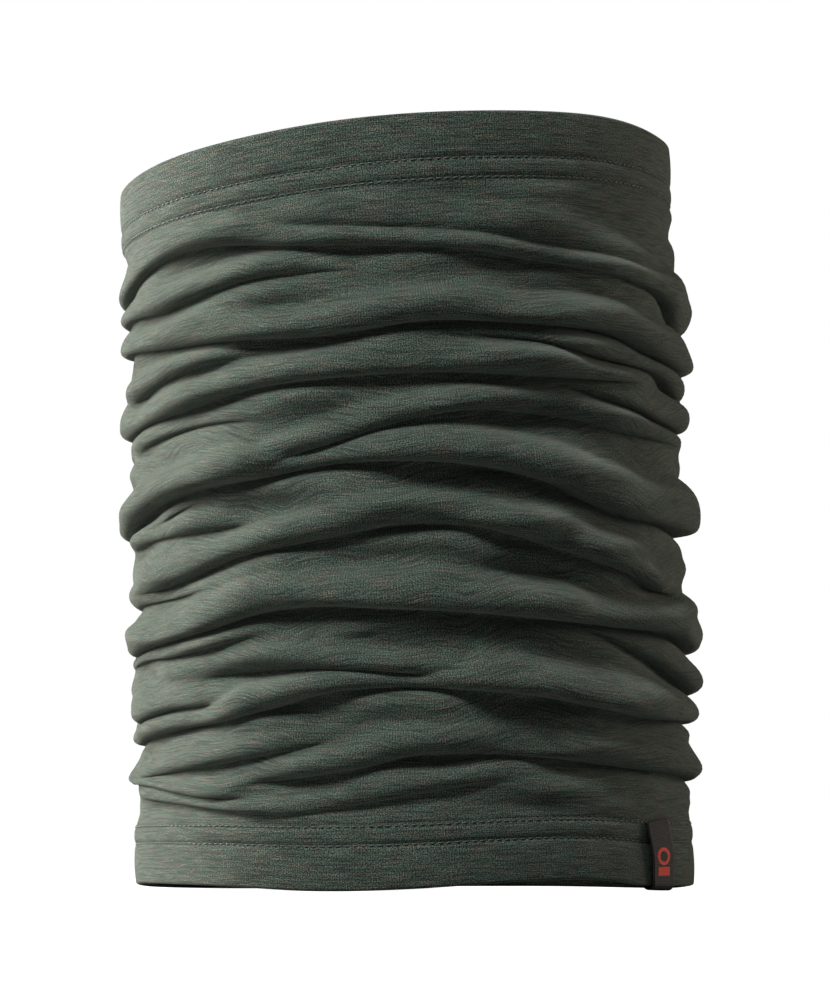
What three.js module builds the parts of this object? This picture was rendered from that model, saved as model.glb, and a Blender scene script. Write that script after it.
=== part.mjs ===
// Neck gaiter: a tube of fine knitted jersey, gathered so that soft rolls run round it, with a turned and
// coverstitched hem at each end, a seam down the inside of the back and two small labels.
//
// Millimetres. +Z is up and the front faces -Y. The bottom hem stands on z = 0.
// Most pieces are first made on an upright tube, whose places are a radius, an angle round the tube (0 at
// the front, counted towards +X) and a height. drape() then leans and tilts every piece alike, so gaps stay
// as they are.

import * as THREE from "three";

// Cloth and clearances
const CLOTH = 0.6; // one layer of jersey
const GAP = 0.3; // between pieces that lie on each other
const THREAD = 0.4; // thickness of a sewing thread as it lies on the cloth

// Tube
const TUBE_RADIUS = 79.5; // outside of the cloth at the hems
const HEIGHT = 208; // standing height on the axis, while gathered
const ROLL_COUNT = 8; // soft rolls between the two hems
const ROLL_REACH = 4; // how far a roll stands out from the hems
const TILT_RISE = 7.5; // the right side of the top edge is this much higher than its middle
const LEAN = 5.8; // the top leans this far to the left of the bottom
const SEGMENTS = 40; // facets round the tube
const STEPS_PER_ROLL = 4; // facets up each roll

// Hems: heights are counted from the folded edge
const HEM_DEPTH = 19; // depth of the turned-in layer
const NEEDLE_ROWS = [12.2, 17.4]; // the two rows of needle stitches
const NEEDLE_ROW_HEIGHT = 0.5;
const LOOPER_HEIGHT = 5.6; // the looper thread spans both needle rows

// Woven label, folded over the bottom edge
const HEM_LABEL_ANGLE = 57; // degrees from the front, towards the right
const HEM_LABEL_WIDTH = 11.5;
const HEM_LABEL_DROP = 18; // from its sewn ends to the folded edge
const HEM_LABEL_THICKNESS = 0.5;
const HEM_LABEL_STITCH_INSET = 0.6; // from the label's side edges
const EDGE_LIFT_SPREAD = 24; // degrees each side over which the hem edge arches over the label
const EDGE_LIFT_FADE = 30; // height at which that arch has died away

// Seam inside the centre back
const SEAM_WIDTH = 6;
const SEAM_THICKNESS = 1.2;
const SEAM_THREAD_WIDTH = 4.5;

// Care label, sewn into the seam by one edge
const CARE_LABEL_LENGTH = 30;
const CARE_LABEL_HEIGHT = 28;
const CARE_LABEL_THICKNESS = 0.5;
const CARE_LABEL_BOTTOM = 34; // height of its lower edge
const CARE_LABEL_REST_ANGLE = 10; // degrees between the label and the wall's tangent

// Places that follow from the sizes above
const INNER_RADIUS = TUBE_RADIUS - CLOTH;
const FACING_RADIUS = INNER_RADIUS - GAP; // outside of the turned-in layer
const FACING_INNER_RADIUS = FACING_RADIUS - CLOTH;
const FACET_DIP = TUBE_RADIUS * (1 - Math.cos(Math.PI / SEGMENTS)); // a facet's middle inside its corners
const TOP_HEM_BASE = HEIGHT - HEM_DEPTH; // where the tube panel ends and the top hem begins
const SEAM_RADIUS = INNER_RADIUS - GAP - FACET_DIP; // outside of the seam allowance, at a dip
const SEAM_THREAD_RADIUS = SEAM_RADIUS - SEAM_THICKNESS - GAP;
const CARE_LABEL_HINGE_RADIUS = SEAM_THREAD_RADIUS - THREAD - GAP - CARE_LABEL_THICKNESS / 2;
const EDGE_LIFT = HEM_LABEL_THICKNESS + 2 * GAP; // clears the label's fold from the surface

const JERSEY = { color: 0x4b564c, roughness: 0.92, metalness: 0 };
const SEWING_THREAD = { color: 0x3a433b, roughness: 0.7, metalness: 0 };
const WOVEN_LABEL = { color: 0x1d1b1c, roughness: 0.65, metalness: 0 };
const SATIN_LABEL = { color: 0xe6e4de, roughness: 0.4, metalness: 0 };

const gaiter = new THREE.Group();

function addPiece(name, geometry, finish) {
  const mesh = new THREE.Mesh(geometry, new THREE.MeshStandardMaterial(finish));
  mesh.name = name;
  gaiter.add(mesh);
}

// Changes every vertex in place: change(point) edits a THREE.Vector3.
function moveVertices(geometry, change) {
  const position = geometry.attributes.position;
  const point = new THREE.Vector3();
  for (let i = 0; i < position.count; i += 1) {
    change(point.fromBufferAttribute(position, i));
    position.setXYZ(i, point.x, point.y, point.z);
  }
  geometry.computeVertexNormals();
  return geometry;
}

// The arch of the bottom edge over the woven label: 1 above the label, fading sideways and upwards to 0.
function edgeArch(angleDegrees, height) {
  const away = Math.abs(angleDegrees - HEM_LABEL_ANGLE) / EDGE_LIFT_SPREAD;
  const sideways = away < 1 ? 0.5 + 0.5 * Math.cos(Math.PI * away) : 0;
  const upwards = THREE.MathUtils.clamp(1 - height / EDGE_LIFT_FADE, 0, 1);
  return sideways * upwards;
}

// Leans the upright tube to the left, raises its right side towards the top and arches the edge over the
// label.
function drape(geometry) {
  return moveVertices(geometry, (point) => {
    const angle = THREE.MathUtils.radToDeg(Math.atan2(point.x, -point.y));
    const share = point.z / HEIGHT;
    const lift = EDGE_LIFT * edgeArch(angle, point.z);
    point.z += lift + (TILT_RISE * share * point.x) / TUBE_RADIUS;
    point.x -= LEAN * (share - 0.5);
  });
}

// How far the rolls stand out from the hem radius at a height: nothing at both hems and at each dip.
function rollReach(height) {
  const rollsUp = (ROLL_COUNT * (height - HEM_DEPTH)) / (TOP_HEM_BASE - HEM_DEPTH);
  if (rollsUp <= 0 || rollsUp >= ROLL_COUNT) return 0;
  return (ROLL_REACH * (1 - Math.cos(2 * Math.PI * rollsUp))) / 2;
}

// Heights at which the rolls are sampled, from one height to another.
function rollHeights(from, to) {
  const step = (TOP_HEM_BASE - HEM_DEPTH) / (ROLL_COUNT * STEPS_PER_ROLL);
  const heights = [from];
  for (let height = HEM_DEPTH; height < TOP_HEM_BASE; height += step) {
    if (height > from + step / 2 && height < to - step / 2) heights.push(height);
  }
  heights.push(to);
  return heights;
}

// A closed ring: the profile is a list of [radius, height], counter-clockwise as seen with the axis on its
// left.
function ring(profile) {
  const points = [...profile, profile[0]].map(([radius, height]) => new THREE.Vector2(radius, height));
  return drape(new THREE.LatheGeometry(points, SEGMENTS).rotateX(Math.PI / 2));
}

// A strip that covers only part of the way round: the profile, as for ring(), carried sideways over a width
// that is centred on an angle, and bent to the tube's curve.
function strip(profile, angleDegrees, width, steps) {
  const shape = new THREE.Shape(profile.map(([radius, height]) => new THREE.Vector2(radius, height)));
  const geometry = new THREE.ExtrudeGeometry(shape, { depth: width, steps, bevelEnabled: false });
  const middle = THREE.MathUtils.degToRad(angleDegrees);
  moveVertices(geometry, (point) => {
    const angle = middle - (point.z - width / 2) / TUBE_RADIUS;
    point.set(point.x * Math.sin(angle), -point.x * Math.cos(angle), point.y);
  });
  return drape(geometry);
}

// The rectangle profile of a band between two radii and two heights.
function band(innerRadius, outerRadius, bottom, top) {
  return [
    [innerRadius, bottom],
    [outerRadius, bottom],
    [outerRadius, top],
    [innerRadius, top],
  ];
}

// The profile of a layer that follows the rolls, its outer face at a distance inside the tube's outer face.
function rolledLayer(depth, thickness, from, to) {
  const heights = rollHeights(from, to);
  const outer = heights.map((height) => [TUBE_RADIUS - depth + rollReach(height), height]);
  const inner = outer.map(([radius, height]) => [radius - thickness, height]);
  return [...outer, ...inner.reverse()];
}

function addTubePanel() {
  const panelTop = TOP_HEM_BASE - GAP;
  const layer = rolledLayer(0, CLOTH, 0, panelTop);
  // The bottom fold turns in under the facing, so its foot is as wide as both layers.
  const inner = layer.pop();
  const foot = [
    [inner[0], CLOTH],
    [FACING_INNER_RADIUS, CLOTH],
    [FACING_INNER_RADIUS, 0],
  ];
  addPiece("tube_panel", ring([...layer, ...foot]), JERSEY);
}

function addHems() {
  const facing = band(FACING_INNER_RADIUS, FACING_RADIUS, CLOTH + GAP, HEM_DEPTH);
  addPiece("bottom_hem", ring(facing), JERSEY);
  addPiece(
    "top_hem",
    ring([
      [INNER_RADIUS, TOP_HEM_BASE],
      [TUBE_RADIUS, TOP_HEM_BASE],
      [TUBE_RADIUS, HEIGHT],
      [FACING_INNER_RADIUS, HEIGHT],
      [FACING_INNER_RADIUS, TOP_HEM_BASE],
      [FACING_RADIUS, TOP_HEM_BASE],
      [FACING_RADIUS, HEIGHT - CLOTH],
      [INNER_RADIUS, HEIGHT - CLOTH],
    ]),
    JERSEY,
  );
}

function addHemThreads() {
  const middle = (NEEDLE_ROWS[0] + NEEDLE_ROWS[1]) / 2;
  const ends = [
    { name: "bottom", rowNames: ["lower", "upper"], heightOf: (depth) => depth },
    { name: "top", rowNames: ["upper", "lower"], heightOf: (depth) => HEIGHT - depth },
  ];
  const outside = TUBE_RADIUS + GAP;
  const inside = FACING_INNER_RADIUS - GAP;
  for (const end of ends) {
    NEEDLE_ROWS.forEach((depth, row) => {
      const bottom = end.heightOf(depth) - NEEDLE_ROW_HEIGHT / 2;
      const profile = band(outside, outside + THREAD, bottom, bottom + NEEDLE_ROW_HEIGHT);
      addPiece(`${end.name}_needle_thread_${end.rowNames[row]}`, ring(profile), SEWING_THREAD);
    });
    const bottom = end.heightOf(middle) - LOOPER_HEIGHT / 2;
    const profile = band(inside - THREAD, inside, bottom, bottom + LOOPER_HEIGHT);
    addPiece(`${end.name}_looper_thread`, ring(profile), SEWING_THREAD);
  }
}

function addHemLabel() {
  const outside = TUBE_RADIUS + GAP + THREAD + GAP;
  const inside = FACING_INNER_RADIUS - GAP - THREAD - GAP - FACET_DIP;
  const fold = -GAP;
  const profile = [
    [inside - HEM_LABEL_THICKNESS, fold - HEM_LABEL_THICKNESS],
    [outside + HEM_LABEL_THICKNESS, fold - HEM_LABEL_THICKNESS],
    [outside + HEM_LABEL_THICKNESS, HEM_LABEL_DROP],
    [outside, HEM_LABEL_DROP],
    [outside, fold],
    [inside, fold],
    [inside, HEM_LABEL_DROP],
    [inside - HEM_LABEL_THICKNESS, HEM_LABEL_DROP],
  ];
  addPiece("hem_label", strip(profile, HEM_LABEL_ANGLE, HEM_LABEL_WIDTH, 4), WOVEN_LABEL);

  const face = outside + HEM_LABEL_THICKNESS + GAP;
  const row = NEEDLE_ROWS[1];
  const stitch = band(face, face + THREAD, row - NEEDLE_ROW_HEIGHT / 2, row + NEEDLE_ROW_HEIGHT / 2);
  const width = HEM_LABEL_WIDTH - 2 * HEM_LABEL_STITCH_INSET;
  addPiece("hem_label_stitch", strip(stitch, HEM_LABEL_ANGLE, width, 4), SEWING_THREAD);
}

function addBackSeam() {
  const from = HEM_DEPTH + GAP;
  const to = TOP_HEM_BASE - GAP;
  const seam = rolledLayer(TUBE_RADIUS - SEAM_RADIUS, SEAM_THICKNESS, from, to);
  addPiece("back_seam", strip(seam, 180, SEAM_WIDTH, 2), JERSEY);
  const thread = rolledLayer(TUBE_RADIUS - SEAM_THREAD_RADIUS, THREAD, from, to);
  addPiece("back_seam_thread", strip(thread, 180, SEAM_THREAD_WIDTH, 2), SEWING_THREAD);
}

// The care label is flat. It hangs from an upright hinge line at the seam and lies close to the wall.
function addCareLabel() {
  const geometry = new THREE.BoxGeometry(CARE_LABEL_LENGTH, CARE_LABEL_THICKNESS, CARE_LABEL_HEIGHT);
  geometry.translate(CARE_LABEL_LENGTH / 2, 0, 0);
  geometry.rotateZ(THREE.MathUtils.degToRad(-CARE_LABEL_REST_ANGLE));
  const middle = CARE_LABEL_BOTTOM + CARE_LABEL_HEIGHT / 2;
  const leanThere = -LEAN * (middle / HEIGHT - 0.5);
  geometry.translate(leanThere, CARE_LABEL_HINGE_RADIUS, middle);
  addPiece("care_label", geometry, SATIN_LABEL);
}

addTubePanel();
addHems();
addHemThreads();
addHemLabel();
addBackSeam();
addCareLabel();

// The origin is under the middle of the whole object's box, on the surface that it stands on.
const box = new THREE.Box3().setFromObject(gaiter);
const middle = box.getCenter(new THREE.Vector3());
gaiter.position.set(-middle.x, -middle.y, -box.min.z);

export default gaiter;
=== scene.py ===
"""The looks of a gathered neck gaiter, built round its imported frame.

A place on the cloth is an angle round the tube in degrees (0 at the front, counted towards +X, so the
back seam is at 180) and a height in millimetres on an upright tube. place() leans and tilts that tube as the
frame's pieces stand and turns it into metres. Shapes are worked out on whole grids of angles and heights.
"""

import bpy
import numpy as np
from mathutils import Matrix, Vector


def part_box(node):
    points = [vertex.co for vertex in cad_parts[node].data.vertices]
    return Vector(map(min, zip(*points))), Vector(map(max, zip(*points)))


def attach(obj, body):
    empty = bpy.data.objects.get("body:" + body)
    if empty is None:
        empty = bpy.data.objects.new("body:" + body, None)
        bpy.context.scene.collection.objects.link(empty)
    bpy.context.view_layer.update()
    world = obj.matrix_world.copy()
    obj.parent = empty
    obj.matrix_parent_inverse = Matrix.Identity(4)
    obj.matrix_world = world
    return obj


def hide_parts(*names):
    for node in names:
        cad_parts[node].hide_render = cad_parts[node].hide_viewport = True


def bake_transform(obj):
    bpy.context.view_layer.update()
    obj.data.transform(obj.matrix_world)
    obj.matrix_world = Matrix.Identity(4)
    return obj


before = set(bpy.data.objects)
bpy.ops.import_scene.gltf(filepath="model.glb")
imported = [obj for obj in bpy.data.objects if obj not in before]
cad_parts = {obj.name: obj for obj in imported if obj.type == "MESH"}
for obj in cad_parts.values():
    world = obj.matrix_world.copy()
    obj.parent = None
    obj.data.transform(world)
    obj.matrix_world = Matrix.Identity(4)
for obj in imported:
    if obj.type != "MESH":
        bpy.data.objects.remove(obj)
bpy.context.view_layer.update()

MM = 0.001


# ---------------- sizes from the frame


def corners_mm(node):
    """The lowest and highest corner of a node, in millimetres."""
    low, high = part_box(node)
    return np.array(low) / MM, np.array(high) / MM


def frame_sizes():
    """Radius, height, tilt, lean and foot of the tube, from the hems and the needle rows of the frame.

    The tilt is a share: at the tube's side a height grows by that share of itself. The lean is how far the
    axis moves to the side for each unit of height, from its foot at height 0."""
    hem_low, hem_high = corners_mm("top_hem")
    base_low, base_high = corners_mm("bottom_hem")
    row_low, row_high = corners_mm("top_needle_thread_upper")
    radius = hem_high[1]
    row_middle = (row_low[2] + row_high[2]) / 2
    tilt = (row_high[2] - row_low[2]) / 2 / row_middle
    height = hem_high[2] / (1 + tilt)
    top_middle = (hem_low + hem_high) / 2
    base_middle = (base_low + base_high) / 2
    lean = (top_middle[0] - base_middle[0]) / (top_middle[2] - base_middle[2])
    foot = base_middle[0] - lean * base_middle[2]
    return radius, height, tilt, lean, foot


RADIUS, HEIGHT, TILT, LEAN, FOOT = frame_sizes()

# ---------------- driving sizes, in millimetres

CLOTH = 0.6  # one layer of jersey
HEM_THICKNESS = 2 * CLOTH + 0.3  # its two layers and the air between them
NEEDLE_ROWS = (12.2, 17.4)  # depth of the two stitch rows from a hem's folded edge
ROW_GROOVE = 0.42  # how far the stitches draw the cloth in
HEM_DEPTH = 18.6  # depth of the turned-in layer
FLAT_ROUND = 500.0  # the cloth's size round the tube
FLAT_LENGTH = 262.0  # the cloth's length between the inner stitch rows, when pulled flat
STITCH_PITCH = 2.3
STITCH_LENGTH = 1.9
THREAD_RADIUS = 0.2
LOOPER_RADIUS = 0.17
OVERLOCK_RADIUS = 0.18
LABEL_ANGLE = 57.0
LABEL_WIDTH = 11.5
LABEL_THICKNESS = 0.45
LABEL_DROP = 18.0  # height of the label's top above the hem's edge
LABEL_SLANT = 0.13  # how far it goes sideways for each millimetre of height
LABEL_STAND = 0.75  # gap between the hem's outer face and the label's outer leg
LABEL_STITCHES = 6
CARE_LABEL_WIDTH = 30
CARE_LABEL_HEIGHT = 28
SEAM_THICKNESS = 1.1
OVERLOCK_PITCH = 2.5

# The label's plain mark, in metres: half sizes of ring and bar, and their depths below the label's top.
RING_HALF_WIDTH = 0.0035
RING_HALF_HEIGHT = 0.0024
RING_DEPTH = 0.0099
BAR_HALF_WIDTH = 0.0032
BAR_HALF_HEIGHT = 0.0012
BAR_DEPTH = 0.0140

# Numbers of points in the grids.
PANEL_COLUMNS = 320
PANEL_ROWS = 190
PANEL_FINE_ROWS = 900
HEM_COLUMNS = 640

# ---------------- folds

# Each fold: its crease as (angle, height) points, how far the roll above it stands out at even steps from the
# crease's one end to the other, and its softness (1 is a crisp crease under a full roll, 3 a shallow wave).
FRONT_FOLDS = [
    ([(-118, 171), (-75, 177), (-60, 180), (-42, 180.5), (-22, 177), (-5, 174.5), (12, 172), (30, 168.3),
      (50, 164.8), (68, 161.5), (80, 157.5), (92, 155.2), (118, 153)], (2.6, 3.0, 2.4, 2.4, 3.6, 7.0), 1.1),
    ([(-40, 185.5), (-22, 182.5), (-8, 179.8), (12, 177), (30, 173.2), (50, 170), (68, 168.5), (88, 171)],
     (0.7, 0.3), 1.4),
    ([(-100, 165), (-74, 166.5), (-56, 165.7), (-44, 167.5), (-30, 169.5), (-2, 167.5)], (2.6, 1.6), 1.4),
    ([(-112, 159), (-75, 157), (-57, 155), (-36, 153.4), (-14, 151.5), (6, 153.2), (27, 151.5), (47, 149.3),
      (60, 146), (78, 143.5), (112, 142)], (2.4, 4.0), 1.1),
    ([(4, 151), (15, 149), (27, 147), (39, 143.8), (51, 142), (62, 140.5), (78, 136.5), (104, 133)],
     (2.2, 4.6), 1.1),
    ([(-92, 141), (-62, 145), (-45, 147.5), (-24, 149)], (3.0, 1.5), 2.0),
    ([(-115, 133), (-70, 135.2), (-53, 136), (-33, 139), (-14, 139.5), (6, 139.3), (26, 137.6), (44, 136.6),
      (66, 135.8)], (3.0, 3.0), 1.3),
    ([(26, 137), (39, 133.2), (51, 130), (61, 127.7), (76, 126.5), (110, 126)], (2.6, 4.0), 1.0),
    ([(-82, 125), (-61, 129.4), (-48, 131), (-35, 130.4), (-20, 127)], (2.6, 1.6), 2.0),
    ([(-38, 114.5), (-26, 118.5), (-14, 122), (0, 126.5), (14, 128.7), (26, 127.6), (38, 125.6), (48, 123.2),
      (61, 121.6), (82, 119)], (2.6, 2.6), 1.6),
    ([(-120, 102), (-90, 104.5), (-70, 109), (-53, 112.3), (-30, 114.2), (-14, 116.3), (3, 115.6),
      (19, 112.8), (31, 108.5), (42, 103), (53, 100.2), (71, 99.3), (112, 97)], (3.2, 5.4), 1.1),
    ([(-74, 102.5), (-59, 105.7), (-48, 109), (-36, 109.8)], (2.0, 1.6), 1.2),
    ([(-95, 99), (-66, 100.6), (-43, 101), (-20, 102.5)], (2.4, 1.4), 1.8),
    ([(-84, 87.5), (-66, 86.6), (-53, 88.2), (-34, 93), (-17, 95.8), (0, 98.6), (11, 97.8), (23, 94.3),
      (38, 88.6), (50, 84.5), (62, 80), (76, 76)], (3.0, 3.4), 1.3),
    ([(-112, 82), (-69, 83.2), (-57, 83.4), (-36, 85.5)], (2.6, 1.4), 1.8),
    ([(-116, 67), (-74, 70), (-55, 71.4), (-44, 73.2), (-30, 77), (-17, 77.6), (-6, 76.3), (13, 74.4),
      (28, 72.4), (45, 70.7), (65, 69.5), (86, 66), (118, 65)], (3.0, 5.6), 1.1),
    ([(-98, 64.5), (-68, 66.7), (-58, 66.5), (-46, 67.7), (-35, 69.8), (-22, 72)], (2.6, 2.0), 1.0),
    ([(24, 71.5), (43, 67.7), (53, 63.8), (65, 60.3), (79, 56.4), (112, 52)], (2.4, 4.4), 1.2),
    ([(-20, 66.5), (-8, 69.3), (6, 72)], (1.6, 1.6), 1.2),
    ([(-52, 58.5), (-35, 60.7), (-18, 60.6), (1, 58.2), (18, 54.5)], (2.2, 2.2), 2.0),
    ([(-104, 48), (-68, 50.2), (-59, 51.6), (-47, 52), (-28, 53)], (2.6, 1.8), 1.3),
    ([(-118, 42), (-65, 45), (-53, 46.4), (-39, 47.7), (-29, 50.2), (-16, 54), (-1, 55), (15, 53.3),
      (27, 51.6), (40, 48.6), (53, 46.5), (66, 46), (84, 46.5), (114, 45)], (2.6, 4.8), 1.2),
    ([(-92, 31.5), (-56, 33.8), (-43, 35), (-33, 36.8), (-21, 39.4), (-6, 43)], (2.2, 1.8), 1.7),
    ([(-24, 38.5), (-14, 43), (-2, 48.5)], (1.4, 1.4), 1.6),
    ([(-100, 31), (-69, 29.6), (-57, 27.4), (-42, 25.4), (-31, 25.8), (-22, 28)], (2.4, 1.8), 1.3),
    ([(-44, 27.5), (-33, 29.7), (-21, 31.2), (-10, 33.2), (-1, 36), (11, 36.6), (30, 34.8), (52, 32.3),
      (67, 31.3), (112, 29)], (2.4, 3.4), 1.3),
    ([(-88, 26.5), (-64, 24.8), (-43, 22.2), (-27, 20.6), (-14, 22.5), (8, 27), (26, 29)], (1.6, 1.4), 1.8),
]
BACK_FOLDS = 19
SIDE_FOLDS = 9  # on each side, over the ends of the front's and the back's folds
FOLD_LOW = 26  # the back's and the sides' folds lie between these heights
FOLD_HIGH = 180
FOLD_SEED = 11
SMALL_FOLDS = 46
SMALL_FOLD_SEED = 23
SMALL_FOLD_GAP = (-100, 115)  # the big rolls stay whole between these angles
FOLD_FULLNESS = 1.2
FOLD_TAPER = 22.0  # degrees over which a fold fades in at each end
ROLL_WIDTH = 3.5  # a free roll's width, before it grows
ROLL_GROWTH = 2.1  # how much wider it is for each millimetre that it stands out
LEAST_ROOM = 0.4
STEEPEST_ROLL = 0.62  # the most that a roll stands out, as a share of its width
ROLL_CREST = 0.40  # place of a roll's crest, as a share of its width
CREASE_DEPTH = 0.62  # as a share of what the roll stands out
CREASE_WIDTH_ABOVE = 1.5
CREASE_WIDTH_BELOW = 2.4
SAG_DEPTH = 0.44  # as a share of what the roll stands out
SAG_PLACE = 0.22  # place of the deepest sag, as a share of the roll's width

WRINKLE_SEED = 5
WRINKLE_WAVES = 30
WRINKLE_SIZE = 0.22

# The bottom edge isn't quite flat: heights of its gentle waves at angles round the tube.
EDGE_WAVES = [(-180, 0.5), (-140, 0.0), (-105, 0.7), (-75, 1.9), (-60, 1.8), (-40, 1.2), (-18, 0.0),
              (0, 0.7), (9, 1.5), (18, 2.3), (29, 3.0), (40, 2.8), (50, 1.6), (57, 1.3), (66, 1.2),
              (84, 1.3), (110, 0.3), (150, 0.6), (180, 0.5)]
# The top edge bows up at the front; both edges' waves fade out over this height.
TOP_WAVES = [(-180, 0.5), (-120, -0.5), (-78, -0.6), (-45, 1.4), (-13, 2.2), (23, 1.2), (44, 0.3), (74, -2.2),
             (110, -1.5), (150, 0.0), (180, 0.5)]
EDGE_WAVE_FADE = 40.0


def from_front(angle):
    """An angle counted from the front, between -180 and 180."""
    return (angle + 180) % 360 - 180


def from_seam(angle):
    """How many degrees an angle lies from the seam at the centre back."""
    return np.abs(angle % 360 - 180)


def side_by_side(*parts):
    """Arrays of any matching shapes, stacked as the last axis of one array."""
    return np.stack(np.broadcast_arrays(*parts), -1)


def smooth_step(x):
    """0 below 0, 1 above 1, and 3x2 - 2x3 between."""
    x = np.clip(x, 0, 1)
    return x * x * (3 - 2 * x)


def curve_through(points, at):
    """Heights of a smooth curve through (angle, height) points: between two points it is the cubic that has
    their heights and, at each, the slope between its neighbours. It runs on level past the ends."""
    x, y = np.array(points, float).T
    slope = np.gradient(y, x)
    i = np.clip(np.searchsorted(x, at) - 1, 0, len(x) - 2)
    width = x[i + 1] - x[i]
    t = np.clip((at - x[i]) / width, 0, 1)
    rise = 3 * t**2 - 2 * t**3
    start = (t**3 - 2 * t**2 + t) * width
    end = (t**3 - t**2) * width
    return y[i] * (1 - rise) + y[i + 1] * rise + start * slope[i] + end * slope[i + 1]


def back_folds():
    """Folds round the back and then down each side, in the style of the front's: evenly stepped heights, and
    seeded draws for where each one is centred, how long it is, how it slants and bows, and how full it is."""
    draw = np.random.default_rng(FOLD_SEED)
    folds = []
    for k in range(BACK_FOLDS):
        height = FOLD_LOW + (FOLD_HIGH - FOLD_LOW) * (k + 0.5) / BACK_FOLDS + draw.uniform(-2.5, 2.5)
        centre = 180 + draw.uniform(-34, 34)
        half = min(draw.uniform(38, 75), 80 - abs(centre - 180))
        slant = draw.uniform(-0.085, 0.085)
        bow = draw.uniform(-4, 5)
        shares = np.linspace(-1, 1, 7)
        bends = draw.uniform(-0.9, 0.9, 7)
        heights = height + slant * half * shares + bow * shares**2 + bends
        reaches = draw.uniform(3.2, 6.0, 2)
        folds.append((list(zip(centre + half * shares, heights)), reaches, draw.uniform(1.0, 1.9)))
    for side in (-1, 1):
        for k in range(SIDE_FOLDS):
            height = FOLD_LOW + (FOLD_HIGH - FOLD_LOW) * (k + 0.5) / SIDE_FOLDS + draw.uniform(-2.5, 2.5)
            centre = 180 + side * draw.uniform(46, 56)
            half = draw.uniform(30, 38)
            slant = draw.uniform(-0.06, 0.06)
            shares = np.linspace(-1, 1, 5)
            points = list(zip(centre + half * shares, height + slant * half * shares))
            reaches = draw.uniform(3.0, 5.4, 2)
            folds.append((points, reaches, draw.uniform(1.0, 1.9)))
    return folds


def small_folds(big_folds):
    """Short, low folds that split the rolls of the big ones: each follows part of a big fold's crease, a few
    millimetres above it and slightly aslant."""
    draw = np.random.default_rng(SMALL_FOLD_SEED)
    folds = []
    for _ in range(SMALL_FOLDS):
        points = big_folds[draw.integers(len(big_folds))][0]
        ends = points[0][0], points[-1][0]
        half = draw.uniform(18, 38)
        centre = draw.uniform(ends[0] + 20, max(ends[1] - 20, ends[0] + 21))
        angles = centre + half * np.linspace(-1, 1, 5)
        above = draw.uniform(2.8, 6.5)
        slant = draw.uniform(-0.06, 0.06)
        heights = curve_through(points, angles) + above + slant * (angles - centre)
        reach = draw.uniform(1.0, 2.4)
        if not SMALL_FOLD_GAP[0] < centre < SMALL_FOLD_GAP[1]:
            folds.append((list(zip(angles, heights)), (reach, reach), draw.uniform(1.0, 2.0)))
    return folds


BIG_FOLDS = FRONT_FOLDS + back_folds()
FOLDS = BIG_FOLDS + small_folds(BIG_FOLDS)


def fold_lines(angle):
    """For every fold, at a row of angles: its crease's height, its strength from 0 to 1, how far its roll
    stands out and how wide that roll is.

    A roll is as wide as the room between it and the other creases allows: its width w meets
    w^-4 = (free width)^-4 + the sum of (strength / room)^4 over them, where the room is the gap to a crease
    above it and three times the gap to one below it. A roll that would stand out r stands out s, where
    s^-3 = r^-3 + (steepest share x w)^-3."""
    crease, strength, reach = [], [], []
    for points, reaches, _ in FOLDS:
        ends = points[0][0], points[-1][0]
        middle = (ends[0] + ends[1]) / 2
        near = middle + from_front(angle - middle)
        crease.append(curve_through(points, near))
        fade_in = smooth_step((near - ends[0]) / FOLD_TAPER)
        fade_out = smooth_step((ends[1] - near) / FOLD_TAPER)
        strength.append(fade_in * fade_out)
        reach.append(np.interp(near, np.linspace(*ends, len(reaches)), reaches))
    crease = np.array(crease)
    strength = np.array(strength)
    reach = np.array(reach)
    gap = crease[None] - crease[:, None]
    room = np.maximum(np.where(gap > 0, gap, -3 * gap), LEAST_ROOM)
    every = np.arange(len(FOLDS))
    room[every, every] = np.inf
    limits = ((strength[None] / room) ** 4).sum(1)
    width = ((ROLL_WIDTH + ROLL_GROWTH * reach) ** -4 + limits) ** -0.25
    full = FOLD_FULLNESS * reach
    stands_out = (full**-3 + (STEEPEST_ROLL * width) ** -3) ** (-1 / 3)
    return crease, strength, stands_out, width


def fold_displacement(angle, height):
    """How far the folds move the cloth outwards and upwards, for a row of angles and a column of heights.

    Across a roll, x runs from 0 at its crease to 1 at its top. It swells from the crease as (1 - v^2)^p up to
    its crest, with v falling from 1 to 0, and falls away again as (1 - u^2)^q, with u rising from 0 to 1. The
    crease itself is drawn in as e^(-(t/d)^2), with t the height above it and d wider below it than above it.
    The roll sags as (x/c) e^(1 - x/c). Both are shares of how far the roll stands out."""
    out = np.zeros(np.broadcast(angle, height).shape)
    up = np.zeros_like(out)
    # 0 up to 35 degrees from the front, and 1 from 80 degrees on, where rolls are fuller above their crests.
    at_side = smooth_step((np.abs(from_front(angle)) - 35) / 45)
    for (_, _, softness), crease, strength, reach, width in zip(FOLDS, *fold_lines(angle[0])):
        t = height - crease
        x = t / width
        v = np.clip(1 - x / ROLL_CREST, 0, 1)
        u = np.clip((x - ROLL_CREST) / (1 - ROLL_CREST), 0, 1)
        under = min(0.5 * softness, 1.3)
        over = (0.55 + 0.6 * softness) * (1 - 0.2 * at_side)
        swell = np.where(x < ROLL_CREST, (1 - v**2) ** under, (1 - u**2) ** over) * (x > 0)
        crease_width = softness * np.where(t > 0, CREASE_WIDTH_ABOVE, CREASE_WIDTH_BELOW)
        drawn_in = np.exp(-((t / crease_width) ** 2))
        sag = np.maximum(x, 0) / SAG_PLACE * np.exp(1 - np.maximum(x, 0) / SAG_PLACE)
        out += strength * reach * (swell - CREASE_DEPTH * drawn_in)
        up -= SAG_DEPTH * strength * reach * sag
    return out, up


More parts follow.
